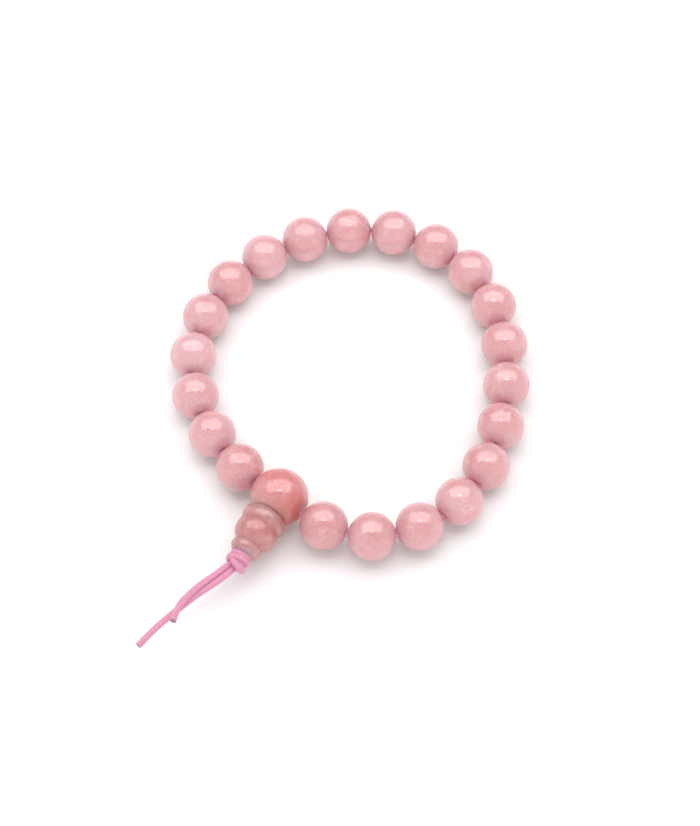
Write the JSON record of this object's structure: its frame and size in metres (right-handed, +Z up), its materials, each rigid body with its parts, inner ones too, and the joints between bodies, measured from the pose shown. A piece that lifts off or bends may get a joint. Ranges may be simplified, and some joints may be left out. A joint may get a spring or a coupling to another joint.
{
  "type": "mala prayer beads",
  "caption": "Wrist mala of round rose quartz beads on an elastic cord, with a larger guru bead, a tiered stupa bead and a knotted tail.",
  "frame": {"origin": "on the ground under the centre of the box round the beads, the guru bead and the stupa bead", "axes": "+Z up from the surface the mala lies on; the stupa bead and the cord ends point towards -Y; +X is across the loop"},
  "size_m": [0.064, 0.0947, 0.0096],
  "materials": {
    "rose_quartz": "polished, translucent rose quartz",
    "guru_quartz": "polished, deeper salmon rose quartz",
    "stupa_quartz": "polished, translucent peach quartz",
    "elastic_cord": "fine ribbed elastic cord"
  },
  "bodies": {
    "string": {"elastic_loop": "elastic_cord"},
    "bead_01": {"bead_01": "rose_quartz"},
    "bead_02": {"bead_02": "rose_quartz"},
    "bead_03": {"bead_03": "rose_quartz"},
    "bead_04": {"bead_04": "rose_quartz"},
    "bead_05": {"bead_05": "rose_quartz"},
    "bead_06": {"bead_06": "rose_quartz"},
    "bead_07": {"bead_07": "rose_quartz"},
    "bead_08": {"bead_08": "rose_quartz"},
    "bead_09": {"bead_09": "rose_quartz"},
    "bead_10": {"bead_10": "rose_quartz"},
    "bead_11": {"bead_11": "rose_quartz"},
    "bead_12": {"bead_12": "rose_quartz"},
    "bead_13": {"bead_13": "rose_quartz"},
    "bead_14": {"bead_14": "rose_quartz"},
    "bead_15": {"bead_15": "rose_quartz"},
    "bead_16": {"bead_16": "rose_quartz"},
    "bead_17": {"bead_17": "rose_quartz"},
    "bead_18": {"bead_18": "rose_quartz"},
    "bead_19": {"bead_19": "rose_quartz"},
    "bead_20": {"bead_20": "rose_quartz"},
    "bead_21": {"bead_21": "rose_quartz"},
    "guru": {"guru_bead": "guru_quartz", "leg_left": "elastic_cord", "leg_right": "elastic_cord", "knot": "elastic_cord", "tail_long": "elastic_cord", "tail_short": "elastic_cord"},
    "stupa": {"stupa_bead": "stupa_quartz"}
  },
  "joints": [
    {"name": "bead_01_spin", "type": "hinge", "parent": "string", "child": "bead_01", "pos_m": [0.00999, -0.02514, 0.00424], "axis": [0.9946, 0.0918, -0.0481], "continuous": true},
    {"name": "bead_02_spin", "type": "hinge", "parent": "string", "child": "bead_02", "pos_m": [0.01772, -0.02288, 0.004], "axis": [0.8722, 0.4889, -0.0153], "continuous": true},
    {"name": "bead_03_spin", "type": "hinge", "parent": "string", "child": "bead_03", "pos_m": [0.02368, -0.01747, 0.004], "axis": [0.5991, 0.8007, 0], "continuous": true},
    {"name": "bead_04_spin", "type": "hinge", "parent": "string", "child": "bead_04", "pos_m": [0.02718, -0.01022, 0.004], "axis": [0.2731, 0.962, 0], "continuous": true},
    {"name": "bead_05_spin", "type": "hinge", "parent": "string", "child": "bead_05", "pos_m": [0.02801, -0.00222, 0.004], "axis": [-0.033, 0.9995, 0], "continuous": true},
    {"name": "bead_06_spin", "type": "hinge", "parent": "string", "child": "bead_06", "pos_m": [0.02666, 0.00572, 0.004], "axis": [-0.258, 0.9661, 0], "continuous": true},
    {"name": "bead_07_spin", "type": "hinge", "parent": "string", "child": "bead_07", "pos_m": [0.02387, 0.01327, 0.004], "axis": [-0.421, 0.9071, 0], "continuous": true},
    {"name": "bead_08_spin", "type": "hinge", "parent": "string", "child": "bead_08", "pos_m": [0.0199, 0.02028, 0.004], "axis": [-0.5756, 0.8177, 0], "continuous": true},
    {"name": "bead_09_spin", "type": "hinge", "parent": "string", "child": "bead_09", "pos_m": [0.01465, 0.02638, 0.004], "axis": [-0.7545, 0.6563, 0], "continuous": true},
    {"name": "bead_10_spin", "type": "hinge", "parent": "string", "child": "bead_10", "pos_m": [0.00788, 0.03073, 0.004], "axis": [-0.9233, 0.384, 0], "continuous": true},
    {"name": "bead_11_spin", "type": "hinge", "parent": "string", "child": "bead_11", "pos_m": [0.00002, 0.03246, 0.004], "axis": [-0.9992, 0.0411, 0], "continuous": true},
    {"name": "bead_12_spin", "type": "hinge", "parent": "string", "child": "bead_12", "pos_m": [-0.00796, 0.03138, 0.004], "axis": [-0.9561, -0.293, 0], "continuous": true},
    {"name": "bead_13_spin", "type": "hinge", "parent": "string", "child": "bead_13", "pos_m": [-0.01517, 0.02781, 0.004], "axis": [-0.8228, -0.5683, 0], "continuous": true},
    {"name": "bead_14_spin", "type": "hinge", "parent": "string", "child": "bead_14", "pos_m": [-0.02107, 0.02233, 0.004], "axis": [-0.6411, -0.7675, 0], "continuous": true},
    {"name": "bead_15_spin", "type": "hinge", "parent": "string", "child": "bead_15", "pos_m": [-0.02541, 0.01555, 0.004], "axis": [-0.4262, -0.9046, 0], "continuous": true},
    {"name": "bead_16_spin", "type": "hinge", "parent": "string", "child": "bead_16", "pos_m": [-0.02787, 0.00789, 0.004], "axis": [-0.1632, -0.9866, 0], "continuous": true},
    {"name": "bead_17_spin", "type": "hinge", "parent": "string", "child": "bead_17", "pos_m": [-0.02801, -0.00016, 0.004], "axis": [0.1328, -0.9911, 0], "continuous": true},
    {"name": "bead_18_spin", "type": "hinge", "parent": "string", "child": "bead_18", "pos_m": [-0.02576, -0.00789, 0.004], "axis": [0.4284, -0.9036, 0], "continuous": true},
    {"name": "bead_19_spin", "type": "hinge", "parent": "string", "child": "bead_19", "pos_m": [-0.0212, -0.01453, 0.004], "axis": [0.6852, -0.7284, 0], "continuous": true},
    {"name": "bead_20_spin", "type": "hinge", "parent": "string", "child": "bead_20", "pos_m": [-0.01486, -0.01948, 0.004], "axis": [0.8594, -0.511, 0.015], "continuous": true},
    {"name": "bead_21_spin", "type": "hinge", "parent": "string", "child": "bead_21", "pos_m": [-0.00747, -0.02269, 0.00424], "axis": [0.955, -0.2928, 0.0476], "continuous": true},
    {"name": "guru_swing", "type": "hinge", "parent": "string", "child": "guru", "pos_m": [0.00119, -0.0244, 0.0048], "axis": [1, 0, 0], "range_deg": [-90, 90]},
    {"name": "stupa_spin", "type": "hinge", "parent": "guru", "child": "stupa", "pos_m": [0.00119, -0.0244, 0.0048], "axis": [0, 1, 0], "continuous": true}
  ]
}
